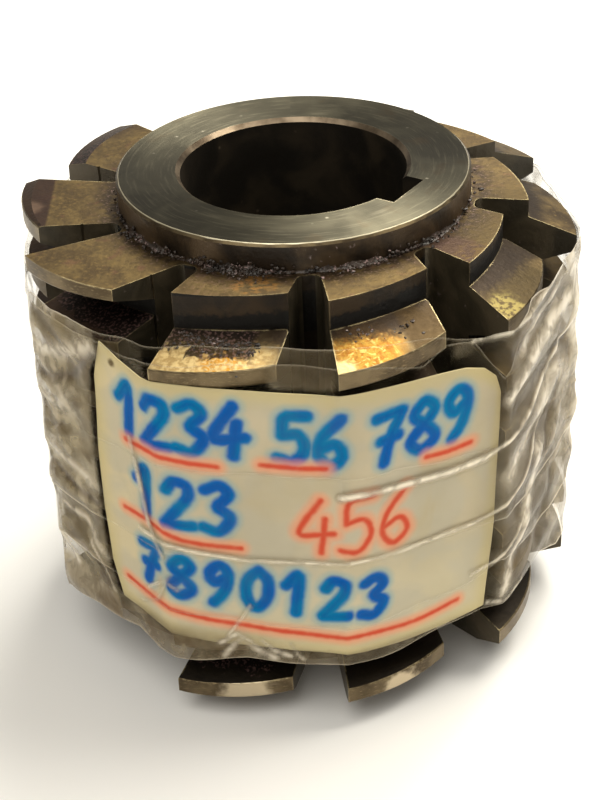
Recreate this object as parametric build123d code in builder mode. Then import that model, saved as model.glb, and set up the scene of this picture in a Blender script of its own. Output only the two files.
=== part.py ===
from build123d import *
import os
from math import acos, asin, atan2, cos, degrees, pi, radians, sin, tan

os.makedirs("parts", exist_ok=True)

# Driving sizes of the tool, in millimetres and degrees. The axis is Z and the lower hub face is at Z = 0.
# An azimuth of 0 points along -Y, to the front, and 90 points along +X.
outside_diameter = 80.0
overall_length = 70.0
bore_diameter = 32.0
bore_chamfer = 0.6
hub_diameter = 50.0
hub_height = 4.1
hub_chamfer = 0.4

# The keyway for the arbor's key: its width, and the measure across the bore to its floor
keyway_width = 8.0
keyway_across = 34.8
keyway_azimuth = 55.5

# The thread: one right-hand start of a rack of module 2.75
module = 2.75
lead_angle = 2.2
flank_angle = 20.0
tip_land = 2.4
tip_corner = 0.25
tooth_depth = 6.875
first_tooth_height = 4.93
first_tooth_azimuth = -29.7
tooth_count = 70

# The gashes: each leaves a radial rake face in front of one tooth and a slanted back behind the one before
gash_count = 10
gash_angle = 24.0
gash_floor_radius = 25.8
gash_floor_width = 2.9
gash_floor_corner = 1.2

# How far a tooth's tip, and the root beside it, fall away between the rake face and the heel
relief = 3.15
root_relief = 2.3

# The paper label, with its outline as seen from the front
label_thickness = 0.2
label_gap = 0.1
label_left = -27.7
label_right = 25.6
label_bottom = 14.0
label_top = 56.0
label_corner = 4.0
label_raised_height = 2.8
label_raised_width = 7.0

# The clear tape, wound over the label
tape_thickness = 0.3
tape_gap = 0.06
tape_bottom = 11.0
tape_top = 61.5

# Between two rows of teeth the tape sags into troughs. The film has ten flats, counted from the first tooth.
# A trough starts this deep at its rake edge and runs out where its floor has risen through the film.
# The flats that lie on the label stay taut, and the troughs of the one at its left run out short of it.
trough_depth = 0.3
trough_radius = 6.0
trough_overrun = 1.5
trough_flats = (2, 3, 4, 5, 6, 7, 8)
trough_rise = 0.1
label_side_flat = 9
label_side_rise = 1.1

# Sizes that follow from the driving ones
outside_radius = outside_diameter / 2
root_radius = outside_radius - tooth_depth
end_height = overall_length - hub_height
axial_pitch = pi * module / cos(radians(lead_angle))
flank_slope = tan(radians(flank_angle))
gash_step = 360.0 / gash_count
gash_mouth = gash_floor_width + (outside_radius - gash_floor_radius) * tan(radians(gash_angle))
gash_arc = degrees(asin(gash_mouth / outside_radius))
tooth_arc = gash_step - gash_arc
tool_clearance = 5.0
rim_tolerance = 0.01


def radial(azimuth):
    """The unit vector that points outwards at this azimuth."""
    return Vector(sin(radians(azimuth)), -cos(radians(azimuth)), 0)


def azimuth_of(vector):
    """The azimuth that this vector points to."""
    return degrees(atan2(vector.X, -vector.Y))


def land_point(share):
    """A point of the land of a tooth whose rake face is at azimuth 0, this share of the way to its heel."""
    return radial(tooth_arc * share) * (outside_radius - relief * (share + share**2) / 2)


# A land is an arc about a centre of its own, so it falls away slowly at first and faster towards the heel
land = Edge.make_three_point_arc(land_point(0), land_point(0.5), land_point(1))
land_centre = land.arc_center
land_radius = land.radius


def film_outline(lift):
    """The closed line of a film stretched over the teeth, this far above their lands."""
    radius = land_radius + lift
    rake = radial(0)
    edge = rake * (rake.dot(land_centre) + (radius**2 - (rake.cross(land_centre)).length**2) ** 0.5)
    next_edge = edge.rotate(Axis.Z, gash_step)
    reach = next_edge - land_centre
    first = azimuth_of(edge - land_centre)
    heel = azimuth_of(land_point(1) - land_centre)
    last = min(azimuth_of(reach) - degrees(acos(radius / reach.length)), heel)
    middle = land_centre + radial((first + last) / 2) * radius
    leaving = land_centre + radial(last) * radius
    for index in range(gash_count):
        turn = first_tooth_azimuth + index * gash_step
        ThreePointArc(*(point.rotate(Axis.Z, turn) for point in (edge, middle, leaving)))
        Line(leaving.rotate(Axis.Z, turn), next_edge.rotate(Axis.Z, turn))


def root_outline():
    """The closed line of the root surfaces, each running from one gash into the next."""
    for index in range(gash_count):
        rake = first_tooth_azimuth + index * gash_step
        turns = (-gash_arc / 2, tooth_arc / 2, tooth_arc + gash_arc / 2)
        points = [radial(rake + turn) * (root_radius - root_relief * turn / tooth_arc) for turn in turns]
        ThreePointArc(*points)
        Line(points[-1], points[0].rotate(Axis.Z, gash_step))


def rims_of(body, radius):
    """The circular edges of this radius, from the lowest to the highest."""
    circles = body.edges().filter_by(GeomType.CIRCLE)
    return circles.filter_by(lambda rim: abs(rim.radius - radius) < rim_tolerance).sort_by(Axis.Z)


# One tooth: the rack's section turned about the land's centre, with the axis leaning by the lead angle.
# Its blank runs from the gash in front of it into the gash behind it, and is seated below the root.
blank_start = -gash_arc / 2
blank_end = tooth_arc + gash_arc * 3 / 4
blank_first = azimuth_of(radial(blank_start) * outside_radius - land_centre)
blank_last = azimuth_of(radial(blank_end) * outside_radius - land_centre)
blank_seat = 1.0 + root_relief
seat_radius = land_radius - tooth_depth - blank_seat
seat_width = tip_land / 2 + (land_radius - seat_radius) * flank_slope
first_middle = first_tooth_azimuth + tooth_arc / 2
middle_height = first_tooth_height + axial_pitch * tooth_arc / 2 / 360
tooth_centre = land_centre.rotate(Axis.Z, first_tooth_azimuth) + Vector(0, 0, middle_height)
tooth_axis = Axis(tooth_centre, Vector(0, 0, 1).rotate(Axis((0, 0, 0), radial(first_middle)), lead_angle))
blank_face = radial(first_middle).rotate(
    Axis((0, 0, 0), tooth_axis.direction), first_tooth_azimuth + blank_first - first_middle
)
tooth_plane = Plane(tooth_centre, x_dir=blank_face, z_dir=blank_face.cross(tooth_axis.direction))

with BuildPart() as tooth:
    with BuildSketch(tooth_plane) as tooth_section:
        with BuildLine():
            Polyline(
                (seat_radius, -seat_width),
                (land_radius, -tip_land / 2),
                (land_radius, tip_land / 2),
                (seat_radius, seat_width),
                close=True,
            )
        make_face()
        fillet(tooth_section.vertices().group_by(Axis.X)[-1], tip_corner)
    revolve(axis=tooth_axis, revolution_arc=blank_last - blank_first)

# The thread is that tooth repeated: each next one is a gash further round and a tenth of the pitch higher
tooth_rise = axial_pitch / gash_count
tooth_places = [
    Location((0, 0, index * tooth_rise), (0, 0, index * gash_step))
    for index in range(tooth_count)
]

# One gash: a radial rake face, a rounded floor and a slanted back
gash_outer = outside_radius + tool_clearance
gash_outer_width = gash_floor_width + (gash_outer - gash_floor_radius) * tan(radians(gash_angle))
rake_face = radial(first_tooth_azimuth)
gash_side = rake_face.rotate(Axis.Z, -90)

with BuildSketch() as gash:
    with BuildLine():
        Polyline(
            rake_face * gash_floor_radius,
            rake_face * gash_outer,
            rake_face * gash_outer + gash_side * gash_outer_width,
            rake_face * gash_floor_radius + gash_side * gash_floor_width,
            close=True,
        )
    make_face()
    fillet(gash.vertices().sort_by_distance((0, 0, 0))[:2], gash_floor_corner)

with BuildPart() as hob:
    with BuildSketch(Plane.XY.offset(hub_height)):
        with BuildLine():
            root_outline()
        make_face()
    extrude(amount=end_height - hub_height)
    with Locations(*tooth_places):
        add(tooth.part)
    with Locations((0, 0, hub_height)):
        Cylinder(
            outside_diameter,
            overall_length,
            align=(Align.CENTER, Align.CENTER, Align.MAX),
            mode=Mode.SUBTRACT,
        )
    with Locations((0, 0, end_height)):
        Cylinder(
            outside_diameter,
            overall_length,
            align=(Align.CENTER, Align.CENTER, Align.MIN),
            mode=Mode.SUBTRACT,
        )
    with BuildSketch():
        with PolarLocations(0, gash_count):
            add(gash.sketch)
    extrude(amount=overall_length, mode=Mode.SUBTRACT)
    with BuildSketch():
        Circle(hub_diameter / 2)
    extrude(amount=overall_length)
    hub_rims = rims_of(hob, hub_diameter / 2)
    chamfer([hub_rims[0], hub_rims[-1]], hub_chamfer)
    Hole(bore_diameter / 2)
    bore_rims = rims_of(hob, bore_diameter / 2)
    chamfer([bore_rims[0], bore_rims[-1]], bore_chamfer)
    with BuildSketch():
        with Locations(Location((0, 0, 0), (0, 0, keyway_azimuth - 90))):
            Rectangle(
                keyway_across - bore_diameter / 2,
                keyway_width,
                align=(Align.MIN, Align.CENTER),
            )
    extrude(amount=overall_length, mode=Mode.SUBTRACT)
hob.part.label = "hob"

# The label bends over the rake edges that it lies on. Its upper left corner was cut higher than the rest.
with BuildPart() as paper_label:
    with BuildSketch():
        with BuildLine():
            film_outline(label_gap + label_thickness)
        make_face()
        with BuildLine():
            film_outline(label_gap)
        make_face(mode=Mode.SUBTRACT)
    extrude(amount=overall_length)
    with BuildSketch(Plane.XZ) as label_front:
        with BuildLine():
            Polyline(
                (label_left, label_bottom),
                (label_right, label_bottom),
                (label_right, label_top),
                (label_left + label_raised_width, label_top),
                (label_left, label_top + label_raised_height),
                close=True,
            )
        make_face()
        fillet(label_front.vertices().sort_by(Axis.X)[-2:].sort_by(Axis.Y)[-1], label_corner)
    extrude(amount=outside_radius + tool_clearance, mode=Mode.INTERSECT)
paper_label.part.label = "paper_label"

tape_lift = label_gap + label_thickness + tape_gap
tape_radius = outside_radius + tape_lift + tape_thickness
trough_length = 2 * tape_radius * sin(radians(gash_step / 2)) + 2 * trough_overrun


def trough_places(flat, rise):
    """The places of the round scoops that hollow this flat between its rows of teeth, from the lowest up."""
    rake = first_tooth_azimuth + flat * gash_step
    near = radial(rake) * (tape_radius - trough_depth)
    far = radial(rake + gash_step) * (tape_radius + rise)
    run = far - near + Vector(0, 0, axial_pitch / gash_count)
    outward = run.cross(Vector(0, 0, 1)).normalized()
    lowest = first_tooth_height + axial_pitch * ((flat + 0.5) / gash_count + 0.5)
    heights = [lowest + axial_pitch * row for row in range(tooth_count // gash_count)]
    return [
        Plane((near + far) / 2 + outward * trough_radius + Vector(0, 0, height), x_dir=outward, z_dir=run)
        for height in heights
        if tape_bottom < height < tape_top
    ]


troughs = trough_places(label_side_flat, label_side_rise)
for flat in trough_flats:
    troughs += trough_places(flat, trough_rise)

# The space inside the tape, with the same troughs, so the film keeps its thickness all over
with BuildPart() as tape_inside:
    with BuildSketch():
        with BuildLine():
            film_outline(tape_lift)
        make_face()
    extrude(amount=overall_length)
    with Locations(*troughs):
        Cylinder(trough_radius + tape_thickness, trough_length, mode=Mode.SUBTRACT)

with BuildPart() as clear_tape:
    with BuildSketch(Plane.XY.offset(tape_bottom)):
        with BuildLine():
            film_outline(tape_lift + tape_thickness)
        make_face()
    extrude(amount=tape_top - tape_bottom)
    with Locations(*troughs):
        Cylinder(trough_radius, trough_length, mode=Mode.SUBTRACT)
    add(tape_inside.part, mode=Mode.SUBTRACT)
clear_tape.part.label = "clear_tape"

for piece in (hob.part, paper_label.part, clear_tape.part):
    export_step(piece, f"parts/{piece.label}.step")
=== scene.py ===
from math import asin, cos, degrees, pi, radians, sin, tan

import bmesh
import bpy
import numpy as np
from mathutils import Matrix, Vector


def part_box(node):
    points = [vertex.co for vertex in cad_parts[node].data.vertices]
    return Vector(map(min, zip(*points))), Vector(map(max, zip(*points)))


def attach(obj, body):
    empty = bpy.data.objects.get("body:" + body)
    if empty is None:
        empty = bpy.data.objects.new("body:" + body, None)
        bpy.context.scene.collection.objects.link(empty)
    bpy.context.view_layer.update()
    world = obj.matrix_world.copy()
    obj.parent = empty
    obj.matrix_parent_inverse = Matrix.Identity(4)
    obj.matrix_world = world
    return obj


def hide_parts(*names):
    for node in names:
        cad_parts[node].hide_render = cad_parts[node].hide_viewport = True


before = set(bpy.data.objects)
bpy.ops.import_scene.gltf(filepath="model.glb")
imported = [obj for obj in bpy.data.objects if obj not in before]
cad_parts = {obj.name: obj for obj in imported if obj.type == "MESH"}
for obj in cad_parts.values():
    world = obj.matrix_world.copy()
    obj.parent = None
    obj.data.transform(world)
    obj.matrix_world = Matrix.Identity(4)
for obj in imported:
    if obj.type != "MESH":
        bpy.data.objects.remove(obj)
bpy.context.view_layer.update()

# Sizes are in millimetres and degrees, and MM turns them into Blender's metres.
# An azimuth of 0 points along -Y, to the front, and 90 points along +X.
MM = 0.001
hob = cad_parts["hob"]
overall_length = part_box("hob")[1].z / MM

# The tool, as the solids have it
outside_radius = 40.0
hub_radius = 25.0
bore_radius = 16.0
gash_count = 10
gash_step = 36.0
gash_angle = 24.0
gash_floor_radius = 25.8
gash_floor_width = 2.9
relief = 3.15
first_rake = -29.7
first_row = 4.93
row_pitch = 8.646
top_row = 6
land_half_width = 1.2
flank_angle = 20.0
gash_mouth = gash_floor_width + (outside_radius - gash_floor_radius) * tan(radians(gash_angle))
tooth_arc = gash_step - degrees(asin(gash_mouth / outside_radius))
hub_height = 4.1
end_height = overall_length - hub_height

# The camera, placed by the photograph's perspective
image_height = 800
focal_pixels = 1732.96
camera_distance = 264.86
camera_elevation = 32.2
camera_roll = -2.622
camera_target = Vector((-0.538, 0.0, 30.63))


def srgb(levels):
    """A colour given as three levels from 0 to 255 on screen, as Blender's linear light."""
    shares = [level / 255 for level in levels]
    return (*(share / 12.92 if share <= 0.04045 else ((share + 0.055) / 1.055) ** 2.4 for share in shares), 1)


# Camera
def add_camera():
    elevation = radians(camera_elevation)
    roll = radians(camera_roll)
    back = Vector((0, -cos(elevation), sin(elevation)))
    right = Vector((1, 0, 0))
    up = back.cross(right)
    rolled_right = right * cos(roll) + up * sin(roll)
    rolled_up = up * cos(roll) - right * sin(roll)
    place = (camera_target + back * camera_distance) * MM
    data = bpy.data.cameras.new("camera")
    data.sensor_fit = "AUTO"
    data.sensor_width = 36
    data.lens = focal_pixels / image_height * data.sensor_width
    data.clip_start = 0.01
    data.clip_end = 20
    camera = bpy.data.objects.new("camera", data)
    rotation = Matrix((rolled_right, rolled_up, back)).transposed()
    camera.matrix_world = Matrix.Translation(place) @ rotation.to_4x4()
    bpy.context.scene.collection.objects.link(camera)
    bpy.context.scene.camera = camera


# Shader building
class Shader:
    """A material whose nodes are added one call at a time. Places in it are in millimetres."""

    def __init__(self, name):
        self.material = bpy.data.materials.new(name)
        self.material.use_nodes = True
        self.tree = self.material.node_tree
        self.surface = self.tree.nodes["Principled BSDF"]
        self.colour = None
        texture = self.tree.nodes.new("ShaderNodeTexCoord")
        self.place = self.vector("DIVIDE", texture.outputs["Object"], (MM, MM, MM))
        split = self.add("ShaderNodeSeparateXYZ", self.place)
        self.x, self.y, self.z = split.outputs
        flat = self.vector("MULTIPLY", self.place, (1, 1, 0))
        self.radius = self.vector("LENGTH", flat)
        self.turn = self.math("ARCTAN2", self.x, self.math("MULTIPLY", self.y, -1))

    def link(self, value, socket):
        if isinstance(value, bpy.types.NodeSocket):
            self.tree.links.new(value, socket)
        else:
            socket.default_value = value

    def add(self, kind, *values, **named):
        node = self.tree.nodes.new(kind)
        for index, value in enumerate(values):
            self.link(value, node.inputs[index])
        for key, value in named.items():
            self.link(value, node.inputs[key])
        return node

    def set(self, socket, value):
        self.link(value, self.surface.inputs[socket])

    def math(self, operation, first, second=0, clamp=False):
        node = self.tree.nodes.new("ShaderNodeMath")
        node.operation = operation
        node.use_clamp = clamp
        self.link(first, node.inputs[0])
        self.link(second, node.inputs[1])
        return node.outputs[0]

    def vector(self, operation, first, second=(0, 0, 0)):
        node = self.tree.nodes.new("ShaderNodeVectorMath")
        node.operation = operation
        self.link(first, node.inputs[0])
        self.link(second, node.inputs[1])
        return node.outputs["Value"] if operation in ("LENGTH", "DOT_PRODUCT") else node.outputs["Vector"]

    def attribute(self, name):
        node = self.tree.nodes.new("ShaderNodeAttribute")
        node.attribute_name = name
        return node.outputs["Fac"]

    def noise(self, scale, detail=3, stretch=(1, 1, 1), distortion=0, where=None):
        """Noise with features about 1 / scale millimetres across."""
        place = self.vector("MULTIPLY", self.place if where is None else where, stretch)
        node = self.add("ShaderNodeTexNoise", Vector=place, Scale=scale, Detail=detail, Distortion=distortion)
        return node.outputs["Fac"]

    def specks(self, scale, size):
        """Small round dots, 1 at their middle."""
        node = self.add("ShaderNodeTexVoronoi", Vector=self.place, Scale=scale)
        return self.band(node.outputs["Distance"], size, 0)

    def band(self, value, low, high):
        """0 below low and 1 above high, smooth in between. Low may be the greater."""
        node = self.tree.nodes.new("ShaderNodeMapRange")
        node.interpolation_type = "SMOOTHSTEP"
        self.link(value, node.inputs["Value"])
        flip = low > high
        node.inputs["From Min"].default_value = high if flip else low
        node.inputs["From Max"].default_value = low if flip else high
        node.inputs["To Min"].default_value = 1 if flip else 0
        node.inputs["To Max"].default_value = 0 if flip else 1
        return node.outputs["Result"]

    def range(self, value, low, high):
        """Turns 0 to 1 into low to high."""
        return self.math("ADD", self.math("MULTIPLY", value, high - low), low)

    def both(self, first, second):
        return self.math("MULTIPLY", first, second, clamp=True)

    def mix(self, share, first, second):
        """The first colour where share is 0 and the second where it is 1. A tuple holds levels up to 255."""
        node = self.tree.nodes.new("ShaderNodeMix")
        node.data_type = "RGBA"
        self.link(share, node.inputs["Factor"])
        self.link(srgb(first) if isinstance(first, tuple) else first, node.inputs["A"])
        self.link(srgb(second) if isinstance(second, tuple) else second, node.inputs["B"])
        return node.outputs["Result"]

    def coat(self, share, over, strength=1):
        """Lays a colour over the colour so far where share is 1. A strength below 1 thins it."""
        if strength < 1:
            share = self.both(share, strength)
        self.colour = self.mix(share, self.colour, over)

    def base(self, cloud, low, high, dark, light):
        """The first colour, from dark to light as the cloud goes from low to high."""
        self.colour = self.mix(self.band(cloud, low, high), dark, light)

    def done(self, roughness, normal=None, metallic=0):
        """The material, with the colour and the last values joined to its surface."""
        self.set("Base Color", self.colour)
        self.set("Metallic", metallic)
        self.set("Roughness", roughness)
        if normal is not None:
            self.set("Normal", normal)
        return self.material

    def spot(self, azimuth, radius, height, size, ragged=0.35, scale=0.6):
        """1 round a point of the tool, with a ragged edge, and 0 beyond size."""
        centre = (sin(radians(azimuth)) * radius, -cos(radians(azimuth)) * radius, height)
        offset = self.vector("SUBTRACT", self.place, centre)
        share = self.math("DIVIDE", self.vector("LENGTH", offset), size)
        rough = self.range(self.noise(scale, 4), -ragged, ragged)
        return self.band(self.math("ADD", share, rough), 1, 0.45)

    def over_row(self):
        """Millimetres above the middle of the next row of teeth below, from 0 to the row pitch."""
        turn = self.math("DIVIDE", self.math("SUBTRACT", self.turn, radians(first_rake)), 2 * pi)
        climb = self.math("MULTIPLY", turn, row_pitch)
        height = self.math("SUBTRACT", self.math("SUBTRACT", self.z, first_row), climb)
        return self.math("FLOORED_MODULO", height, row_pitch)

    def bump(self, height, distance, strength=1):
        node = self.tree.nodes.new("ShaderNodeBump")
        node.inputs["Strength"].default_value = strength
        node.inputs["Distance"].default_value = distance * MM
        self.link(height, node.inputs["Height"])
        return node.outputs["Normal"]

    def worn_edge(self, width, low=0.02, high=0.18):
        """1 along sharp edges, about width across, broken up by noise."""
        bevel = self.tree.nodes.new("ShaderNodeBevel")
        bevel.samples = 4
        bevel.inputs["Radius"].default_value = width * MM
        geometry = self.tree.nodes.new("ShaderNodeNewGeometry")
        along = self.vector("DOT_PRODUCT", bevel.outputs["Normal"], geometry.outputs["True Normal"])
        edge = self.band(self.math("SUBTRACT", 1, along), low, high)
        fine = self.band(self.noise(0.9, 4), 0.3, 0.55)
        coarse = self.range(self.band(self.noise(0.11, 3), 0.42, 0.58), 0.15, 1)
        return self.both(edge, self.both(fine, coarse))


# Steel
def turned_face():
    """The ground ring round the bore, with turning marks."""
    steel = Shader("turned_face")
    rings = steel.add("ShaderNodeCombineXYZ", steel.math("MULTIPLY", steel.radius, 5), 0, 0).outputs[0]
    fine = steel.noise(1, 6, where=rings)
    across = steel.math("MULTIPLY", steel.radius, 2.5)
    along = steel.math("MULTIPLY", steel.turn, 4)
    arcs = steel.add("ShaderNodeCombineXYZ", across, along, 0).outputs[0]
    streaks = steel.noise(1, 5, where=arcs)
    cloud = steel.noise(0.09, 4, distortion=0.8)
    steel.base(cloud, 0.35, 0.7, (64, 61, 50), (90, 86, 71))
    steel.coat(steel.band(streaks, 0.5, 0.75), (128, 122, 104), 0.4)
    steel.coat(steel.band(steel.noise(0.22, 5), 0.56, 0.72), (80, 68, 50), 0.55)
    nicks = steel.both(steel.specks(0.42, 0.16), steel.band(steel.noise(0.2, 2), 0.5, 0.6))
    steel.coat(nicks, (180, 174, 156), 0.6)
    steel.coat(steel.worn_edge(0.5), (170, 160, 134))
    steel.set("Anisotropic", 0.8)
    steel.set("Anisotropic Rotation", 0.25)
    tangent = steel.tree.nodes.new("ShaderNodeTangent")
    tangent.direction_type = "RADIAL"
    tangent.axis = "Z"
    steel.set("Tangent", tangent.outputs[0])
    height = steel.math("ADD", fine, steel.math("MULTIPLY", nicks, -0.8))
    return steel.done(steel.range(streaks, 0.35, 0.45), steel.bump(height, 0.03, 0.5), metallic=1)


def bare_rim():
    """The bore's chamfer, rubbed bright."""
    steel = Shader("bare_rim")
    cloud = steel.noise(0.25, 5)
    steel.base(cloud, 0.35, 0.65, (84, 73, 60), (130, 116, 98))
    dents = steel.bump(steel.noise(2, 4), 0.05, 0.4)
    return steel.done(steel.range(cloud, 0.3, 0.5), dents, metallic=1)


def hub_corner():
    """The hub's corner, bare along its upper line and dark with oil below it."""
    steel = Shader("hub_corner")
    cloud = steel.noise(0.4, 5)
    from_end = steel.math("ABSOLUTE", steel.math("SUBTRACT", steel.z, overall_length / 2))
    depth = steel.math("SUBTRACT", overall_length / 2, from_end)
    uneven = steel.math("ADD", depth, steel.range(cloud, -0.12, 0.12))
    steel.base(cloud, 0.35, 0.65, (60, 50, 36), (96, 84, 62))
    steel.coat(steel.band(uneven, 0.15, 0.04), (206, 198, 172))
    return steel.done(steel.range(cloud, 0.3, 0.5), metallic=0.9)


def bore_wall():
    """The bore and its keyway, dark with old oil."""
    steel = Shader("bore_wall")
    cloud = steel.noise(0.15, 5, distortion=0.6)
    steel.base(cloud, 0.4, 0.7, (24, 20, 14), (46, 38, 26))
    spots = steel.both(steel.specks(0.3, 0.12), steel.band(cloud, 0.45, 0.6))
    steel.coat(spots, (98, 86, 70))
    dents = steel.bump(steel.noise(0.7, 5), 0.1, 0.4)
    return steel.done(steel.range(cloud, 0.42, 0.62), dents, metallic=0.35)


def root():
    """The floor of the thread, brown, and near black where the flank below it begins: grease there, with
    painted shade.
    """
    steel = Shader("root")
    cloud = steel.noise(0.2, 5, distortion=0.6)
    grain = steel.noise(1.4, 5)
    steel.base(cloud, 0.35, 0.68, (27, 20, 12), (48, 36, 20))
    rise = steel.math("ADD", steel.over_row(), steel.range(grain, -1, 1))
    # Painted shade with grease: near black low on the root, where the flank below begins.
    steel.coat(steel.band(rise, 6.4, 5.6), (10, 8, 6))
    steel.coat(steel.worn_edge(0.35), (140, 122, 88), 0.6)
    steel.set("Specular IOR Level", 0.3)
    height = steel.math("ADD", cloud, grain)
    return steel.done(steel.range(cloud, 0.34, 0.55), steel.bump(height, 0.2, 0.4), metallic=0.4)


def oily_steel(name, dark, light, crumb_share, edge_share):
    """Unground steel under dried oil and grime, with purple-grey crumbs in places."""
    steel = Shader(name)
    cloud = steel.noise(0.16, 5, distortion=0.7)
    fine = steel.noise(1.3, 5)
    steel.base(cloud, 0.35, 0.68, dark, light)
    crumbs = steel.both(steel.band(fine, 0.62, 0.75), steel.band(steel.noise(0.3, 3), 0.5, 0.62))
    steel.coat(crumbs, (150, 132, 130), crumb_share)
    steel.coat(steel.worn_edge(0.35), (128, 112, 80), edge_share)
    height = steel.math("ADD", cloud, steel.math("MULTIPLY", fine, 0.35))
    return steel.done(steel.range(cloud, 0.3, 0.55), steel.bump(height, 0.35, 0.5), metallic=0.45)


def end_plate():
    """The flat ends of the teeth, brown-gold with bare edges."""
    steel = Shader("end_plate")
    band, both, noise, spot = steel.band, steel.both, steel.noise, steel.spot
    cloud = noise(0.2, 5, distortion=0.5)
    grain = noise(1.6, 5)
    steel.base(cloud, 0.35, 0.65, (84, 68, 42), (106, 88, 54))
    steel.coat(band(grain, 0.5, 0.72), (120, 99, 59), 0.6)
    steel.coat(band(grain, 0.46, 0.34), (76, 62, 42), 0.45)
    red = band(noise(0.35, 4), 0.58, 0.7)
    steel.coat(red, (108, 76, 58), 0.5)
    right = both(band(steel.x, 14, 22), band(steel.y, 2, -6))
    steel.coat(right, (72, 58, 30), 0.75)
    foot = both(band(steel.radius, 30.5, 26), band(noise(0.8, 4), 0.32, 0.56))
    soil = steel.mix(band(noise(2.4, 4), 0.54, 0.66), (50, 39, 29), (112, 92, 86))
    steel.coat(foot, soil, 0.85)
    ember = both(spot(-12, 28, end_height, 3.4, 0.6, 0.6), band(grain, 0.42, 0.6))
    steel.coat(ember, (150, 104, 46), 0.5)
    crumbs = both(spot(-24, 29, end_height, 5.5, 0.5, 0.5), band(grain, 0.5, 0.62))
    steel.coat(crumbs, (92, 70, 62), 0.35)
    shade = spot(44, 29.5, end_height, 6, 0.5, 0.4)
    steel.coat(shade, (72, 52, 44), 0.7)
    glow = both(spot(47, 33.5, end_height, 5, 0.5, 0.5), band(grain, 0.4, 0.6))
    steel.coat(glow, (98, 78, 38), 0.6)
    oxide = both(band(steel.x, -34.3, -34.8), band(steel.y, -9, -8))
    oxide = both(oxide, steel.range(cloud, 0.8, 1))
    steel.coat(oxide, (52, 34, 29))
    bare = spot(-87, 37.6, end_height, 2.6, 0.25, 0.5)
    steel.coat(bare, (112, 90, 74), 0.8)
    soot = spot(-133, 39, end_height, 7.5, 0.3, 0.3)
    steel.coat(soot, (70, 56, 42), 0.75)
    steel.coat(steel.worn_edge(0.4), (190, 174, 130))
    return steel.done(steel.range(grain, 0.34, 0.56), steel.bump(grain, 0.12, 0.35), metallic=0.85)


def flank():
    """The sides of the thread, oxidised brown with gold where the oil has dried thin."""
    steel = Shader("flank")
    band, both, noise, spot = steel.band, steel.both, steel.noise, steel.spot
    cloud = noise(0.22, 5, distortion=0.8)
    grain = noise(1.5, 6)
    steel.base(cloud, 0.35, 0.65, (60, 48, 32), (96, 80, 52))
    steel.coat(band(grain, 0.52, 0.75), (122, 102, 62), 0.6)
    far_left = band(steel.x, -18, -27)
    steel.coat(far_left, (62, 46, 38), 0.85)
    # Painted shadow of the tape, with oil: the flanks of the lowest rows near black.
    low = band(steel.z, 14, 9)
    steel.coat(low, (26, 22, 17), 0.94)
    pale = spot(-19, 37.8, 59.5, 11, 0.35, 0.4)
    straw = steel.mix(band(grain, 0.4, 0.62), (180, 152, 100), (212, 188, 134))
    steel.coat(pale, straw)
    side = spot(52, 37, 60.5, 10, 0.4, 0.4)
    steel.coat(side, (58, 47, 24), 0.85)
    lit = both(spot(45, 38.5, 60.5, 3.6, 0.5, 0.6), band(grain, 0.38, 0.55))
    steel.coat(lit, (116, 104, 60))
    fleck = band(noise(0.9, 6, distortion=1.5), 0.42, 0.58)
    left_part = band(steel.turn, radians(23), radians(21.5))
    right_part = band(steel.turn, radians(21.5), radians(23))
    gold = both(spot(13, 37.6, 61, 6.2, 0.3, 0.4), left_part)
    steel.coat(gold, (144, 110, 42))
    steel.coat(both(gold, fleck), (124, 78, 20), 0.8)
    crackle = both(gold, band(noise(0.55, 6, distortion=3), 0.56, 0.62))
    steel.coat(crackle, (206, 174, 104), 0.5)
    glow = both(spot(-16.5, 37.8, 60.5, 4.4, 0.5, 0.6), fleck)
    steel.coat(glow, (196, 140, 44))
    cleaner = steel.math("MULTIPLY", band(steel.turn, 0.02, -0.02), 1.5)
    grime = steel.math("ADD", steel.math("ADD", steel.radius, cleaner), steel.range(grain, 1.6, -1.6))
    steel.coat(band(grime, 36.2, 34), (38, 29, 22), 0.9)
    dirt = steel.math("ADD", steel.radius, steel.range(noise(0.7, 5, distortion=1), 3.2, -3.2))
    dirt = both(band(dirt, 36.9, 35.7), band(steel.turn, radians(-9), radians(-11.5)))
    grains = steel.mix(band(noise(2.6, 4), 0.5, 0.62), (28, 21, 18), (98, 76, 72))
    steel.coat(dirt, grains, 0.92)
    umber = both(spot(27, 36.6, 59.6, 8.5, 0.4, 0.4), right_part)
    steel.coat(umber, (58, 44, 21), 0.9)
    # Painted highlight on one tooth's rake corner.
    corner = spot(7.2, 39.6, 58.9, 2.6, 0.35, 1)
    steel.coat(corner, (188, 170, 118))
    steel.coat(steel.worn_edge(0.4), (206, 190, 146))
    height = steel.math("ADD", grain, cloud)
    return steel.done(steel.range(grain, 0.38, 0.6), steel.bump(height, 0.15, 0.4), metallic=0.85)


def land():
    """The tops of the teeth, ground and dulled."""
    steel = Shader("land")
    cloud = steel.noise(0.25, 4)
    scratch = steel.noise(1.2, 5, stretch=(1, 1, 4))
    steel.base(cloud, 0.35, 0.65, (76, 64, 46), (110, 96, 72))
    steel.coat(steel.band(scratch, 0.55, 0.72), (138, 122, 92), 0.6)
    # Lighter patches on two lands of the lowest row.
    lighter_left = steel.spot(-15, 39, 5, 4.8, 0.4, 0.6)
    lighter_right = steel.spot(18, 39, 5, 3.6, 0.6, 0.7)
    lighter_patch = steel.math("MAXIMUM", lighter_left, lighter_right)
    steel.coat(lighter_patch, (206, 190, 160), 0.85)
    steel.coat(steel.worn_edge(0.35), (196, 180, 140))
    return steel.done(steel.range(scratch, 0.3, 0.52), steel.bump(scratch, 0.06, 0.4), metallic=0.85)


# How faces are told apart: the upright and outward shares of their normals, and reaches in millimetres
flat_level = 0.99
flank_level = 0.9
chamfer_level = 0.3
land_outward = 0.3
root_outward = 0.9
corner_width = 0.5
chamfer_reach = 1.5
keyway_reach = 20


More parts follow.
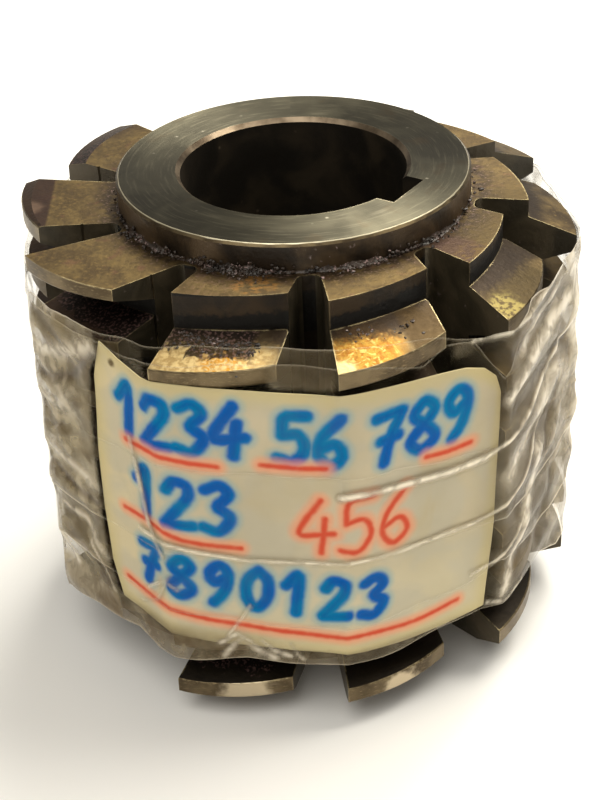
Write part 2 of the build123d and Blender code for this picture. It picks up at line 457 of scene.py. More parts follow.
def finish_of(centre, normal):
    """The name of a face's finish, from its middle and its normal."""
    radius = (centre.x**2 + centre.y**2) ** 0.5
    outward = (normal.x * centre.x + normal.y * centre.y) / radius
    level = abs(normal.z)
    flat = level > flat_level
    if radius < bore_radius + chamfer_reach and not flat:
        return "bare_rim" if level > chamfer_level else "bore_wall"
    if radius < keyway_reach and not flat:
        return "bore_wall"
    if radius < hub_radius + 0.1:
        if flat:
            return "turned_face"
        at_hub_end = centre.z > overall_length - corner_width or centre.z < corner_width
        return "hub_corner" if at_hub_end else "hub_side"
    if flat:
        return "end_plate"
    if level > flank_level:
        return "flank"
    if radius > outside_radius - relief - 1 and outward > land_outward:
        return "land"
    return "root" if outward > root_outward else "gash"


def dress_hob():
    """Gives each surface of the tool its own steel."""
    finishes = {
        "turned_face": turned_face(),
        "bare_rim": bare_rim(),
        "hub_corner": hub_corner(),
        "bore_wall": bore_wall(),
        "hub_side": oily_steel("hub_side", (30, 22, 14), (78, 62, 42), 0.9, 0.7),
        "end_plate": end_plate(),
        "flank": flank(),
        "land": land(),
        "gash": oily_steel("gash", (50, 45, 34), (78, 69, 53), 0.35, 0.08),
        "root": root(),
    }
    mesh = hob.data
    mesh.materials.clear()
    slots = {name: index for index, name in enumerate(finishes)}
    for material in finishes.values():
        mesh.materials.append(material)
    for polygon in mesh.polygons:
        polygon.material_index = slots[finish_of(polygon.center / MM, polygon.normal)]


# Dried grease: a lumpy fillet round the foot of the upper hub, and crumbs in the corners
grease_seed = 5
fillet_columns = 900
fillet_rows = 9
fillet_lumps = 120
crumb_foot_radius = 33.3

# Where crumbs lie: the corner, its first and last azimuth, and how many
crumb_corners = [
    ("hub foot", -75, 50, 240),
    ("hub foot", 50, 285, 120),
    ("thread foot", -28.5, -9, 260),
    ("hub foot", -34, -13, 160),
    ("thread foot", 8, 27, 60),
]


def grease():
    """Dried oil and fine chips, near black with purple-grey grains."""
    lump = Shader("grease")
    grain = lump.noise(2.2, 4)
    cloud = lump.noise(0.35, 4)
    lump.base(cloud, 0.35, 0.65, (26, 19, 14), (54, 41, 32))
    grains = lump.both(lump.band(grain, 0.56, 0.66), lump.band(cloud, 0.42, 0.58))
    lump.coat(grains, (146, 122, 120))
    lump.coat(lump.both(lump.specks(0.9, 0.2), grains), (226, 214, 204))
    return lump.done(lump.range(grain, 0.3, 0.6), lump.bump(grain, 0.15, 0.6))


def land_radius_at(azimuth):
    """The radius of the lands at this azimuth. Over a gash it is that of the heel."""
    share = np.clip(((azimuth - first_rake) % gash_step) / tooth_arc, 0, 1)
    return outside_radius - relief * (share + share**2) / 2


def upper_flank_height(azimuth, radius):
    """The height of the highest full row's upper flank at these places."""
    row_middle = first_row + row_pitch * (top_row + (azimuth - first_rake) / 360)
    return row_middle + land_half_width + (land_radius_at(azimuth) - radius) * tan(radians(flank_angle))


def add_fillet(material):
    rng = np.random.default_rng(grease_seed)
    azimuths = np.linspace(-180, 180, fillet_columns, endpoint=False)
    knots = np.linspace(-180, 180, fillet_lumps + 1)
    sizes = rng.uniform(0.35, 1.25, fillet_lumps + 1)
    sizes[-1] = sizes[0]
    size = np.interp(azimuths, knots, sizes)
    over_gash = (azimuths - first_rake) % gash_step > tooth_arc - 2
    front = np.clip(1.3 - np.abs(azimuths + 15) / 110, 0.45, 1)
    size = np.where(over_gash, np.minimum(size, 0.5), size) * front
    t = np.linspace(0, 1, fillet_rows)[None, :]
    bulge = 1 + 0.35 * rng.uniform(-1, 1, (fillet_columns, fillet_rows)) * np.sin(pi * t)
    radius = hub_radius - 0.05 + size[:, None] * (1 - np.cos(t * pi / 2)) * bulge
    height = end_height - 0.05 + size[:, None] * 1.2 * (1 - np.sin(t * pi / 2)) * bulge
    turn = np.radians(azimuths)[:, None]
    mesh = grid_mesh("grease_fillet", radius * np.sin(turn), -radius * np.cos(turn), height, closed=True)
    mesh.materials.append(material)
    add_piece("grease_fillet", mesh)


def add_crumbs(material):
    rng = np.random.default_rng(grease_seed + 1)
    shape = bmesh.new()
    bmesh.ops.create_icosphere(shape, subdivisions=1, radius=1.0)
    corners = np.array([corner.co[:] for corner in shape.verts])
    sides = [[corner.index for corner in side.verts] for side in shape.faces]
    shape.free()
    vertices, faces = [], []
    for kind, start, end, count in crumb_corners:
        for _ in range(count):
            azimuth = rng.uniform(start, end)
            gash_here = (azimuth - first_rake) % gash_step > tooth_arc - 1
            size = rng.uniform(0.1, 0.34)
            if kind == "hub foot":
                radius = hub_radius + (0.2 if gash_here else abs(rng.normal(0.3, 0.7)))
                height = end_height + (abs(rng.normal(0, 0.5)) if radius < hub_radius + 0.5 else 0)
            elif gash_here:
                continue
            else:
                radius = crumb_foot_radius + abs(rng.normal(0, 1.2))
                height = upper_flank_height(azimuth, radius)
            turn = radians(azimuth)
            centre = np.array((radius * sin(turn), -radius * cos(turn), height))
            lumpy = corners * size * rng.uniform(0.7, 1.3, (len(corners), 1)) * rng.uniform(0.6, 1.3, 3)
            faces += [[len(vertices) + index for index in side] for side in sides]
            vertices += ((centre + lumpy) * MM).tolist()
    mesh = bpy.data.meshes.new("grease_crumbs")
    mesh.from_pydata(vertices, [], faces)
    mesh.materials.append(material)
    add_piece("grease_crumbs", mesh)


def add_grease():
    material = grease()
    add_fillet(material)
    add_crumbs(material)


# The film that is stretched over the lands: its outline is the lands' convex hull
class Film:
    """The outline of a film stretched round the teeth, measured along itself from azimuth 0 to the right."""

    def __init__(self):
        shares = np.linspace(0, 1, 24)
        starts = first_rake + gash_step * np.arange(gash_count)
        azimuths = (starts[:, None] + shares * tooth_arc).ravel()
        radii = np.tile(outside_radius - relief * (shares + shares**2) / 2, gash_count)
        turns = np.radians(azimuths)
        points = sorted(zip(radii * np.sin(turns), -radii * np.cos(turns)))
        corners = np.array(self.chain(points) + self.chain(points[::-1]))
        turns = np.degrees(np.arctan2(corners[:, 0], -corners[:, 1]))
        corners = corners[np.argsort(turns)]
        corners = np.vstack([corners, corners[:1]])
        lengths = np.concatenate([[0], np.cumsum(np.linalg.norm(np.diff(corners, axis=0), axis=1))])
        self.length = lengths[-1]
        turns = np.degrees(np.unwrap(np.arctan2(corners[:, 0], -corners[:, 1])))
        self.turns = turns
        self.corners = corners
        self.lengths = lengths - np.interp(0, turns, lengths)

    @staticmethod
    def chain(points):
        """One side of a convex hull."""
        kept = []
        for point in points:
            while len(kept) > 1:
                (ax, ay), (bx, by) = kept[-2], kept[-1]
                if (bx - ax) * (point[1] - ay) - (by - ay) * (point[0] - ax) > 0:
                    break
                kept.pop()
            kept.append(point)
        return kept[:-1]

    def at(self, along):
        """The points of the outline at these places along it."""
        wrapped = (along - self.lengths[0]) % self.length + self.lengths[0]
        x = np.interp(wrapped, self.lengths, self.corners[:, 0])
        y = np.interp(wrapped, self.lengths, self.corners[:, 1])
        return x, y

    def along(self, azimuth):
        """The place along the outline at this azimuth, from -180 to 180."""
        return np.interp(azimuth, self.turns, self.lengths)


film = Film()


def grid_mesh(name, x, y, z, closed):
    """A mesh through a grid of points in millimetres. The grid's first direction may close on itself."""
    columns, rows = x.shape
    vertices = np.stack([x, y, z], axis=-1).reshape(-1, 3) * MM
    faces = []
    for column in range(columns if closed else columns - 1):
        after = (column + 1) % columns
        for row in range(rows - 1):
            here = column * rows + row
            there = after * rows + row
            faces.append((here, there, there + 1, here + 1))
    mesh = bpy.data.meshes.new(name)
    mesh.from_pydata(vertices.tolist(), [], faces)
    mesh.polygons.foreach_set("use_smooth", [True] * len(faces))
    return mesh


def add_piece(name, mesh, node=None):
    piece = bpy.data.objects.new(name, mesh)
    bpy.context.scene.collection.objects.link(piece)
    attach(piece, "root")
    if node:
        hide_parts(node)
    return piece


def set_attribute(mesh, name, values):
    attribute = mesh.attributes.new(name, "FLOAT", "POINT")
    attribute.data.foreach_set("value", np.asarray(values, np.float32).ravel())


# The paper label. Its outline is given along the film and in height, corner by corner from the upper left.
label_top = [
    (-29.8, 58.9), (-26.4, 57.5), (-22, 56.5), (-15.2, 56.5), (-8.9, 56.2), (3.9, 56), (15.8, 55.4),
    (22.6, 54.9), (25.4, 54), (27.2, 52.3), (28, 49.6),
]
label_right = [(28, 49.6), (27.8, 42.1), (27.4, 28.9), (26, 14.3)]
label_bottom = [(-30.6, 16.3), (-21, 14.9), (-3.6, 14), (4.1, 13.8), (12.5, 13.3), (19, 13.4), (26, 14.3)]
label_left = [(-29.8, 58.9), (-31.6, 53), (-32.5, 42), (-32.8, 31.2), (-32.2, 22), (-30.6, 16.3)]
label_width = 60
label_height = 42
label_middle = -2.2
label_half = 29.5
label_lift = 0.2
label_thickness = 0.15
label_columns = 236
label_rows = 168

# Marker strokes of the digits, in a box one high and 0.6 wide
digit_strokes = {
    "1": [[(0.05, 0.72), (0.32, 1), (0.3, 0)]],
    "2": [
        [(0.05, 0.78), (0.2, 0.98), (0.45, 0.92), (0.48, 0.68), (0.25, 0.35), (0.02, 0.03)],
        [(0.02, 0.03), (0.58, 0.06)],
    ],
    "3": [[(0.06, 0.9), (0.32, 1), (0.5, 0.8), (0.3, 0.55), (0.54, 0.32), (0.34, 0.02), (0.03, 0.1)]],
    "4": [[(0.36, 1), (0.02, 0.36), (0.6, 0.38)], [(0.44, 0.66), (0.4, 0)]],
    "5": [
        [(0.55, 1), (0.14, 0.96), (0.1, 0.58)],
        [(0.1, 0.58), (0.4, 0.6), (0.54, 0.32), (0.34, 0.02), (0.03, 0.08)],
    ],
    "6": [[(0.46, 1), (0.14, 0.62), (0.06, 0.25), (0.28, 0), (0.52, 0.2), (0.38, 0.46), (0.1, 0.36)]],
    "7": [[(0.03, 0.94), (0.56, 0.98)], [(0.56, 0.98), (0.34, 0.5), (0.22, 0)], [(0.14, 0.46), (0.5, 0.5)]],
    "8": [[
        (0.32, 0.54), (0.08, 0.76), (0.3, 1), (0.52, 0.8), (0.3, 0.52), (0.04, 0.22), (0.28, 0),
        (0.56, 0.22), (0.32, 0.54),
    ]],
    "9": [[(0.5, 0.72), (0.22, 0.54), (0.08, 0.78), (0.3, 1), (0.5, 0.78), (0.42, 0.3), (0.2, 0)]],
    "0": [[(0.3, 1), (0.06, 0.72), (0.06, 0.26), (0.28, 0), (0.52, 0.28), (0.52, 0.74), (0.3, 1)]],
}

# The label's counting numbers: each group's digits, left end, base, height, step, slope and ink
number_groups = [
    ("1234", -27.6, 46.3, 7.6, 5, -0.01, "blue"),
    ("56", -4.2, 45.6, 7.2, 5, -0.05, "blue"),
    ("789", 8.6, 44.4, 7.4, 5.2, 0.02, "blue"),
    ("123", -25.6, 34, 7.6, 5.4, -0.03, "blue"),
    ("456", -2, 31.2, 8.6, 5.6, -0.02, "red"),
    ("7890123", -25.8, 22.6, 6.4, 5.35, -0.09, "blue"),
]
underlines = [
    [(-26.3, 45.2), (-21.3, 45), (-16.8, 44.7), (-12, 44.2)],
    [(-6.2, 45), (-2.3, 44.7), (2.3, 44.9)],
    [(16.6, 43.1), (19.6, 42.9), (23.5, 43.1)],
    [(-28.1, 33.2), (-21.9, 32.9), (-17.9, 31.8), (-14.4, 31.4), (-9.6, 31.2)],
    [
        (-29.1, 20.6), (-22.5, 19.4), (-16, 18.7), (-7.6, 17.6), (0.7, 16.9), (7.8, 16.6), (15.7, 16.2),
        (21.5, 17.2),
    ],
]
blue_width = 0.86
red_width = 0.46
line_width = 0.4


def border(points, count):
    """Evenly spaced points along a given border."""
    points = np.array(points, float)
    lengths = np.concatenate([[0], np.cumsum(np.linalg.norm(np.diff(points, axis=0), axis=1))])
    spots = np.linspace(0, lengths[-1], count)
    return np.stack([np.interp(spots, lengths, column) for column in points.T], axis=-1)


def smooth_stroke(points, steps=6):
    """A curve through the points of a stroke."""
    points = [np.array(point, float) for point in points]
    padded = [2 * points[0] - points[1], *points, 2 * points[-1] - points[-2]]
    curve = []
    for before, start, end, after in zip(padded, padded[1:], padded[2:], padded[3:]):
        for step in range(steps):
            t = step / steps
            slope = end - before
            bend = 2 * before - 5 * start + 4 * end - after
            twist = 3 * start - before - 3 * end + after
            curve.append(0.5 * (2 * start + slope * t + bend * t**2 + twist * t**3))
    return curve + [points[-1]]


def ink_depth(places, strokes, width):
    """How far inside the nearest stroke each place lies, in millimetres. It is negative outside."""
    nearest = np.full(len(places), 1e9)
    for stroke in strokes:
        for start, end in zip(stroke, stroke[1:]):
            run = end - start
            share = np.clip(((places - start) @ run) / max(run @ run, 1e-9), 0, 1)
            gap = np.linalg.norm(places - start - share[:, None] * run, axis=1)
            nearest = np.minimum(nearest, gap)
    return width - nearest


def marker_strokes(colour):
    strokes = []
    for digits, left, base, height, step, slope, ink in number_groups:
        if ink != colour:
            continue
        for index, digit in enumerate(digits):
            origin = np.array((left + index * step, base + index * step * slope))
            for points in digit_strokes[digit]:
                lean = [(x * height * 0.95 + y * 0.5, y * height) for x, y in points]
                strokes.append([origin + point for point in smooth_stroke(lean)])
    return strokes


def paper():
    """Cream paper, yellower at its edges, with marker ink that has bled a little."""
    sheet = Shader("paper")
    band, both, noise = sheet.band, sheet.both, sheet.noise
    cloud = noise(0.08, 4)
    fibre = noise(3, 5)
    grey = band(noise(0.11, 4, distortion=1), 0.42, 0.62)
    sheet.base(cloud, 0.35, 0.65, (178, 167, 140), (189, 178, 152))
    sheet.coat(band(sheet.z, 34, 20), (198, 189, 160), 0.6)
    # Painted light: the left part of the label lighter.
    sheet.coat(band(sheet.x, -16, -25), (208, 194, 158), 0.7)
    sheet.coat(grey, (178, 172, 154), 0.6)
    rim = band(sheet.attribute("rim"), 3.4, 0.4)
    sheet.coat(both(rim, sheet.range(cloud, 0.1, 0.9)), (192, 176, 118))
    drop = sheet.spot(-40, 39.3, 56.4, 1, 0.3, 1)
    sheet.coat(drop, (70, 52, 24), 0.85)
    stain = both(sheet.specks(0.16, 0.1), band(noise(0.3, 2), 0.5, 0.65))
    sheet.coat(stain, (92, 74, 46), 0.7)
    wobble = sheet.range(noise(0.9, 4), -0.18, 0.18)
    blue = sheet.math("ADD", sheet.attribute("blue"), wobble)
    red = sheet.math("ADD", sheet.attribute("red"), wobble)
    tint = band(noise(0.14, 3), 0.38, 0.62)
    marker = sheet.mix(tint, (8, 86, 164), (0, 110, 160))
    sheet.coat(band(blue, -1.4, 0.1), (108, 158, 172), 0.65)
    sheet.coat(band(blue, -0.45, 0.3), marker)
    sheet.coat(both(band(blue, 0.4, 1), sheet.range(fibre, 0.2, 0.9)), (4, 66, 138))
    sheet.coat(band(red, -1.5, 0), (226, 146, 108), 0.7)
    sheet.coat(band(red, -0.3, 0.35), (196, 62, 38), 0.9)
    sheet.set("Specular IOR Level", 0.05)
    return sheet.done(sheet.range(fibre, 0.55, 0.75), sheet.bump(fibre, 0.03, 0.3))


def add_label():
    top = border(label_top, label_columns)
    bottom = border(label_bottom, label_columns)
    left = border(label_left[::-1], label_rows)
    right = border(label_right[::-1], label_rows)
    across = np.linspace(0, 1, label_columns)[:, None, None]
    up = np.linspace(0, 1, label_rows)[None, :, None]
    flat = (1 - up) * bottom[:, None] + up * top[:, None] + (1 - across) * left[None] + across * right[None]
    flat = flat - (1 - across) * (1 - up) * bottom[0] - across * (1 - up) * bottom[-1]
    flat = flat - (1 - across) * up * top[0] - across * up * top[-1]
    along, height = flat[..., 0], flat[..., 1]
    x, y = film.at(along)
    grow = 1 + (label_lift + 0.05 * np.sin(along * 0.7 + height * 0.3)) / np.hypot(x, y)
    mesh = grid_mesh("label_sheet", x * grow, y * grow, height, closed=False)
    places = np.stack([along, height], axis=-1).reshape(-1, 2)
    set_attribute(mesh, "blue", ink_depth(places, marker_strokes("blue"), blue_width))
    lines = [[np.array(point) for point in smooth_stroke(points)] for points in underlines]
    red = np.maximum(
        ink_depth(places, marker_strokes("red"), red_width),
        ink_depth(places, lines, line_width),
    )
    set_attribute(mesh, "red", red)
    to_side = label_width * np.minimum(across, 1 - across)
    to_end = label_height * np.minimum(up, 1 - up)
    set_attribute(mesh, "rim", np.minimum(to_side, to_end)[..., 0])
    mesh.materials.append(paper())
    label = add_piece("label_sheet", mesh, "paper_label")
    thick = label.modifiers.new("thickness", "SOLIDIFY")
    thick.thickness = label_thickness * MM
    thick.offset = -1


# The clear tape: three turns, each with its lower and upper edge given as azimuth and height
tape_turns = [
    (
        "tape_lower",
        [(-180, 10.8), (-140, 11.6), (-100, 10.2), (-63, 10.4), (-53, 11.4), (-40, 12.4), (-34, 10.6),
         (-28, 10.9), (-14, 12.1), (3, 11.8), (18, 12.3), (27, 13.2), (37, 14.2), (42, 13.4), (54, 13),
         (62, 12.7), (73, 9.7), (110, 11.4), (150, 10.4), (180, 10.8)],
        [(-180, 41.2), (-90, 41), (-30, 43.8), (4, 43.5), (18, 42.8), (29, 41.7), (41, 41.1), (55, 41.5),
         (90, 41.8), (180, 41.2)],
    ),
    (
        "tape_middle",
        [(-180, 20), (-60, 21), (0, 18.2), (25, 18.9), (34, 19.8), (41, 21.4), (60, 19), (120, 21.5),
         (180, 20)],
        [(-180, 59.4), (-100, 60), (-60, 58.6), (-36, 59), (-6, 60.6), (6, 60.4), (23, 57.6), (28, 59.4),
         (34, 59), (41, 51.6), (50, 57), (90, 60), (180, 59.4)],
    ),
    (
        "tape_upper",
        [(-180, 29.4), (-60, 29), (-14, 29.8), (5, 29.8), (18, 29.8), (41, 28.6), (63, 28.1), (74, 30.1),
         (130, 29), (180, 29.4)],
        [(-180, 60.6), (-120, 61.2), (-90, 60), (-60, 60.4), (-54, 60), (-48, 60.4), (-42, 60.8),
         (-36, 61.6), (-32, 62), (-20, 62.8), (-3, 63.1), (4, 63.2), (16, 62.4), (27, 60.9), (36, 58.9),
         (43, 58.8), (50, 60.7), (58, 60), (67, 60.6), (76, 60.9), (120, 60.2), (150, 61.4), (180, 60.6)],
    ),
]
tape_lift = 0.45
turn_lift = 0.12
tape_columns = 640
tape_rows = 104
edge_step = 0.3
sag_depth = 0.8
crease_seed = 11
crease_count = 150
crease_share = 0.42
fold_share = 0.6
crease_on_label = 0.06
highest_lift = 1.3

# Folds of the film: how white with painted glare (below 0, how brown with painted shade), half width, rise,
# and course in azimuth and height
folds = [
    (0.85, 1.2, 0.35, [(42.8, 48.3), (49.7, 51), (62.5, 53), (73.1, 53.6)]),
    (-0.95, 0.8, -0.5, [(43.2, 44.6), (53.2, 46.8), (65.6, 47.8), (72, 47)]),
    (0.9, 0.35, 0.3, [(36.8, 40), (42.1, 41.4), (52.6, 43.2), (64.2, 46.2), (75, 49.1)]),
    (0.75, 1.9, 0.2, [(44.4, 35.8), (49.7, 38.7), (58.3, 41.6), (65.7, 43.4)]),
    (-0.9, 1, -0.4, [(60.5, 32.5), (63.5, 36.5), (66.6, 41.4)]),
    (0.8, 0.3, 0.25, [(34.3, 29.8), (41, 30.6), (48, 32.4), (54.3, 35.2), (59.4, 39.4)]),
    (0.75, 1.5, 0.2, [(50.7, 25.1), (55.2, 29.4), (57.2, 34.2)]),
    (-0.8, 1.2, -0.4, [(59, 17), (63.4, 21.7), (66.8, 27.5)]),
    (0.7, 0.3, 0.25, [(34.5, 20.9), (40.1, 21.8), (46.2, 23.9), (52, 27)]),
    (0.75, 1.3, 0.3, [(42.7, 15.6), (44.9, 19.2), (51.2, 23.9)]),
    (0.7, 0.5, 0.3, [(38.4, 14.7), (43.7, 13.6), (50, 14.4)]),
    (0.8, 0.5, 0.5, [(34, 59), (42, 58.6), (49, 59.3), (60, 59.8), (66, 60.6)]),
    (0.6, 1, 0.4, [(48, 53.6), (53, 56.4), (64, 57.7)]),
    (-0.8, 1.2, -0.5, [(40, 55.4), (46, 54), (52, 54.4), (58, 55.2)]),
    (0.5, 2, 0.5, [(71, 60), (75.5, 54), (76, 47), (79, 38), (77, 29), (82, 20)]),
    (-0.7, 0.7, -0.4, [(67, 50), (71, 45.5), (74, 44)]),
    (0.7, 1, 0.5, [(-66, 62.5), (-61.8, 61.6), (-57.9, 60.4)]),
    (-0.7, 1, -0.4, [(-66, 58.2), (-60.1, 57.4), (-56, 56)]),
    (0.55, 1.3, 0.3, [(-66, 52), (-58, 53.6), (-50, 56), (-45.6, 57.6)]),
    (-0.9, 0.8, -0.6, [(-67, 48.5), (-60, 49), (-53, 51), (-45.5, 56.6)]),
    (0.35, 0.9, 0.3, [(-64, 44.6), (-58.6, 44.8), (-52, 49)]),
    (-0.7, 0.4, -0.3, [(-67, 40), (-62, 40.4), (-58.6, 41.6)]),
    (0.45, 1, 0.3, [(-64, 36), (-57, 35.4), (-49.7, 34)]),
    (-0.9, 0.6, -0.6, [(-67, 33.2), (-62, 32.6), (-56.3, 31.6), (-48.9, 31.2)]),
    (-0.5, 1.1, -0.2, [(-64, 29.6), (-57.1, 29), (-51, 28)]),
    (0.5, 0.7, 0.3, [(-62.9, 26.4), (-55, 26.6), (-48, 22)]),
    (-0.6, 0.8, -0.3, [(-61, 22.9), (-55.6, 21.4), (-51, 17.6)]),
    (0.9, 0.7, 0.5, [(-64.4, 20.6), (-62.1, 19), (-60.4, 17)]),
    (-0.5, 1.2, -0.2, [(-63.4, 15), (-56, 14.6), (-50, 14.9)]),
    (0.6, 0.3, 0.2, [(-53, 23.2), (-49.6, 20.4), (-47, 16.5)]),
    (0.8, 0.3, 0.03, [(-36, 31.4), (-12.3, 29.4), (7.3, 29.7), (17.9, 29.4), (34.3, 29.8)]),
    (0.95, 0.5, 0.04, [(6, 40.6), (18, 40.2), (29, 39.7), (36.8, 40)]),
    (0.6, 0.3, 0.03, [(-35.2, 21.5), (-30.3, 24.2), (-27.5, 23.1)]),
    (0.45, 0.3, 0.03, [(-38, 18), (-33, 19.8), (-29, 25.4)]),
    (0.75, 0.45, 0.15, [(-19.5, 14.6), (-16, 16.4), (-12.9, 15.2)]),
    (0.6, 0.3, 0.1, [(-18.6, 15.1), (-15.1, 19), (-12.9, 21.5)]),
    (0.75, 0.45, 0.15, [(-10.9, 15.5), (-8.3, 13.8), (-5.3, 13.1)]),
    (0.7, 0.5, 0.2, [(-18.6, 12.4), (-17.2, 14.2), (-15.6, 15.4)]),
    (0.65, 0.7, 0.2, [(-12.8, 14.8), (-10.8, 13.2), (-8.6, 12.6)]),
    (0.55, 0.3, 0.1, [(-5, 15.4), (-3.8, 13.4), (-2.6, 12.6)]),
    (0.6, 0.4, 0.03, [(-36.4, 46), (-34.8, 39.5), (-33.5, 33.6), (-31.8, 30.5), (-30.2, 28.4)]),
]


def bare_share(along):
    """0 where the tape lies on the label, 1 away from it."""
    return np.clip((np.abs(along - label_middle) - label_half) / 5, 0, 1)


def bell(value, middle, width, power=2):
    """1 at the middle and less with distance from it. A higher power has a flatter top."""
    return np.exp(-(((value - middle) / width) ** power))


def random_creases(along, height):
    """How far small creases all over lift the film, and how sharp they are at each place, which sets the
    painted glint along them.
    """
    rng = np.random.default_rng(crease_seed)
    lift = np.zeros_like(along)
    sharp = np.zeros_like(along)
    for _ in range(crease_count):
        middle = np.array((rng.uniform(-film.length / 2, film.length / 2), rng.uniform(12, 61)))
        lean = radians(rng.choice((-1, 1)) * rng.uniform(15, 70))
        reach = rng.uniform(6, 18)
        width = rng.uniform(0.5, 1.6)
        rise = rng.uniform(0.15, 0.75)
        bow = rng.uniform(-0.035, 0.035)
        for shift in (-film.length, 0, film.length):
            dx = along - middle[0] - shift
            dz = height - middle[1]
            length_wise = dx * cos(lean) + dz * sin(lean)
            cross_wise = -dx * sin(lean) + dz * cos(lean) + bow * length_wise**2
            fade = np.exp(-((length_wise / reach) ** 2) * 2)
            lift += rise * np.exp(-np.abs(cross_wise) / width) * fade
            # sharp: how strong the painted glint along this crease is
            sharp = np.maximum(sharp, bell(cross_wise, 0, width * 0.7) * fade * rise * 0.8)
    return lift, sharp


def drawn_folds(along, height):
    """How far the folds named above lift the film, and how white with painted glare and how brown with
    painted shade it shows at each place.
    """
    lift = np.zeros(along.size)
    white = np.zeros(along.size)
    brown = np.zeros(along.size)
    places = np.stack([along.ravel(), height.ravel()], axis=-1)
    for shade, half_width, rise, points in folds:
        course = [np.array((film.along(azimuth), level)) for azimuth, level in points]
        gap = -ink_depth(places, [course], 0)
        profile = bell(gap, 0, half_width)
        lift += rise * profile
        # A fold above 0 paints glare, white; one below 0 paints shade, brown.
        if shade > 0:
            white = np.maximum(white, shade * profile)
        else:
            brown = np.maximum(brown, -shade * profile)
    return (values.reshape(along.shape) for values in (lift, white, brown))


def tape_film():
    """Clear film that has yellowed, hazy where it is creased or stands clear of the steel, with painted glare
    on its folds, creases and edges and painted shade in its dark folds.
    """
    tape = Shader("tape_film")
    cloud = tape.noise(0.12, 4, distortion=1)
    streak = tape.noise(0.5, 5, stretch=(1, 1, 0.35), distortion=1.5)
    haze = tape.attribute("haze")
    glint = tape.attribute("glint")
    edge = tape.attribute("edge")
    brown = tape.attribute("brown")
    patch = tape.noise(0.35, 4, distortion=0.8)
    broken = tape.range(tape.band(patch, 0.36, 0.6), 0.6, 1.1)
    # Painted glare: white where the glint and edge attributes are high.
    white = tape.math("MAXIMUM", tape.both(glint, broken), edge)
    tape.base(cloud, 0.35, 0.65, (140, 125, 94), (184, 171, 142))
    tape.coat(tape.band(patch, 0.52, 0.4), (112, 100, 76), 0.35)
    stain = tape.both(tape.band(tape.noise(0.16, 5, distortion=1.2), 0.52, 0.66), tape.band(haze, 0.1, 0.2))
    tape.coat(stain, (112, 92, 60), 0.65)
    # Brown from oil and from the painted shade of the dark folds.
    tape.coat(tape.both(brown, tape.range(streak, 0.6, 1.2)), (66, 50, 34))
    # The colour of the painted glare, whiter where the film lies on the label.
    pale = tape.mix(tape.band(haze, 0.08, 0.2), (248, 240, 222), (214, 205, 188))
    tape.coat(white, pale)
    veil = tape.both(haze, tape.range(tape.band(patch, 0.35, 0.65), 0.75, 1.2))
    shown = tape.math("ADD", tape.math("MULTIPLY", white, 0.75), tape.math("MULTIPLY", brown, 0.3))
    tape.set("Alpha", tape.math("ADD", veil, shown, clamp=True))
    tape.set("IOR", 1.28)
    return tape.done(tape.range(streak, 0.12, 0.28), tape.bump(patch, 0.18, 0.25))


def turn_grid(index, low, high):
    """Azimuths and heights all over one turn, and how far each place is from the turn's edges."""
    azimuths = np.linspace(-180, 180, tape_columns, endpoint=False)
    low, high = np.array(low, float), np.array(high, float)
    bottom = np.interp(azimuths, low[:, 0], low[:, 1]) + 0.2 * np.sin(azimuths * 0.31 + index)
    top = np.interp(azimuths, high[:, 0], high[:, 1]) + 0.15 * np.sin(azimuths * 0.43 + 2 * index)
    bottom, top = bottom[:, None], top[:, None]
    inner = bottom + edge_step + np.linspace(0, 1, tape_rows) * (top - bottom - 2 * edge_step)
    height = np.concatenate([bottom, inner, top], axis=1)
    azimuth = np.repeat(azimuths[:, None], height.shape[1], axis=1)
    return azimuth, height, np.minimum(height - bottom, top - height)


def sag_between_rows(azimuth, height, phase, free):
    """How far the film dips between the rows of teeth, where it is free to."""
    on_tooth = np.clip(np.minimum(phase, tooth_arc - phase) / 3 + 0.6, 0, 1)
    row_height = first_row + row_pitch * (azimuth - first_rake) / 360
    between_rows = 0.5 - 0.5 * np.cos(2 * pi * (height - row_height) / row_pitch)
    return free * between_rows * sag_depth * (0.5 + 0.5 * on_tooth)


def milkiness(azimuth, height, place, phase, free):
    """How hazy the smooth film is, and how brown with oil, at each place."""
    left = bell(azimuth, -58, 16)
    right = bell(azimuth, 76, 11)
    over_gash = np.clip((phase - tooth_arc) / 1.5, 0, 1) * np.clip((gash_step - phase) / 1.5, 0, 1)
    stale = over_gash * np.clip(height - 56.7, 0, 1) * bell(azimuth, 0, 32, 4)
    skirt = np.clip((14.6 - height) / 0.8, 0, 1) * bell(azimuth, 8, 26, 4)
    rim = np.clip((17.5 - height) / 3, 0, 1) * bell(azimuth, -45, 32, 4)
    levels, border_left = np.array(label_left[::-1]).T[::-1]
    past_label = np.clip(np.interp(height, levels, border_left) - place - 0.2, 0, 1)
    clear = np.where(place < 0, past_label, free)
    haze = 0.004 + clear * (0.26 + 0.22 * left + 0.25 * right) + 0.5 * rim + 0.22 * skirt + 0.1 * stale
    oil = np.maximum(np.maximum(0.55 * rim, 0.5 * stale), 0.5 * skirt)
    return haze, oil


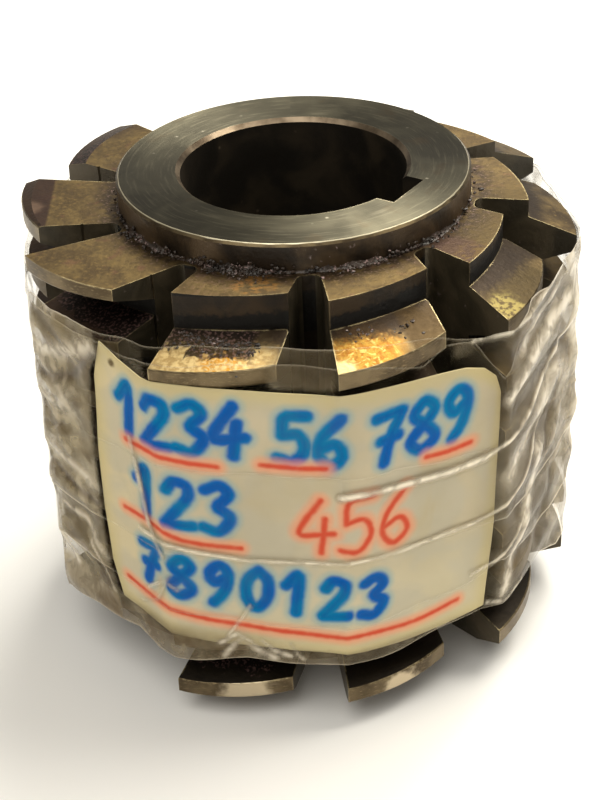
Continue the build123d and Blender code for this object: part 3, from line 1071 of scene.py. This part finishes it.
def add_turn(index, name, low, high, material):
    """One turn of the tape, a band between its lower and upper edges."""
    azimuth, height, to_edge = turn_grid(index, low, high)
    place = film.along(azimuth)
    free = bare_share(place)
    phase = (azimuth - first_rake) % gash_step
    sag = sag_between_rows(azimuth, height, phase, free)
    crease, sharp = random_creases(place, height)
    fold, white, brown = drawn_folds(place, height)
    base = tape_lift + turn_lift * index
    lift = base + free * (crease_share * crease + fold_share * fold - sag)
    lift = lift + (1 - free) * crease_on_label * np.minimum(crease, 1)
    lift = np.clip(lift, base - sag_depth * free, base + highest_lift)
    x, y = film.at(place)
    grow = 1 + lift / np.hypot(x, y)
    mesh = grid_mesh(name, x * grow, y * grow, height, closed=True)
    haze, oil = milkiness(azimuth, height, place, phase, free)
    haze = haze + (0.005 + 0.015 * free) * crease.clip(0, 1)
    calm = 1 - 0.6 * bell(azimuth, 0, 75, 4)
    dusk = 0.7 * bell(azimuth, 54, 15, 4) * (1 - white)
    # Painted highlight: a whitish line along each edge of the turn.
    set_attribute(mesh, "edge", np.clip(1 - to_edge / 0.35, 0, 1) * (0.4 + 0.3 * free))
    set_attribute(mesh, "haze", haze)
    # Painted glint along the creases and painted glare on the white folds.
    set_attribute(mesh, "glint", np.maximum(sharp * (0.04 + 0.8 * free * calm), white))
    # Brown from oil, together with the painted shade of the dark folds.
    set_attribute(mesh, "brown", np.maximum(np.maximum(brown, oil), dusk))
    mesh.materials.append(material)
    add_piece(name, mesh, "clear_tape")


def add_tape():
    material = tape_film()
    for index, (name, low, high) in enumerate(tape_turns):
        add_turn(index, name, low, high, material)


# Floor and light
def add_floor():
    mesh = bpy.data.meshes.new("floor")
    half = 3
    corners = [(-half, -half, 0), (half, -half, 0), (half, half, 0), (-half, half, 0)]
    mesh.from_pydata(corners, [], [(0, 1, 2, 3)])
    floor = bpy.data.objects.new("floor", mesh)
    bpy.context.scene.collection.objects.link(floor)
    pale = Shader("floor")
    pale.colour = pale.mix(pale.noise(0.01, 2), (236, 236, 235), (242, 242, 241))
    mesh.materials.append(pale.done(0.9))


def add_light(name, azimuth, elevation, distance, size, power, colour):
    """A square soft light that points at the tool's middle."""
    data = bpy.data.lights.new(name, "AREA")
    data.shape = "SQUARE"
    data.size = size
    data.energy = power
    data.color = colour
    light = bpy.data.objects.new(name, data)
    turn, rise = radians(azimuth), radians(elevation)
    away = Vector((sin(turn) * cos(rise), -cos(turn) * cos(rise), sin(rise)))
    light.location = Vector((0, 0, overall_length / 2 * MM)) + away * distance
    light.rotation_mode = "QUATERNION"
    light.rotation_quaternion = away.to_track_quat("Z", "Y")
    bpy.context.scene.collection.objects.link(light)


def add_world():
    world = bpy.data.worlds.new("studio")
    world.use_nodes = True
    background = world.node_tree.nodes["Background"]
    background.inputs["Color"].default_value = (1, 0.94, 0.83, 1)
    background.inputs["Strength"].default_value = 0.42
    bpy.context.scene.world = world


add_camera()
dress_hob()
add_grease()
add_label()
add_tape()
add_floor()
add_world()
add_light("key", azimuth=105, elevation=58, distance=0.7, size=0.3, power=3.5, colour=(1, 0.94, 0.82))
add_light("back", azimuth=156, elevation=54, distance=0.8, size=0.36, power=6.2, colour=(1, 0.96, 0.86))
add_light("front", azimuth=-25, elevation=60, distance=0.9, size=0.6, power=4, colour=(1, 0.96, 0.88))
bpy.context.scene.view_settings.view_transform = "Standard"
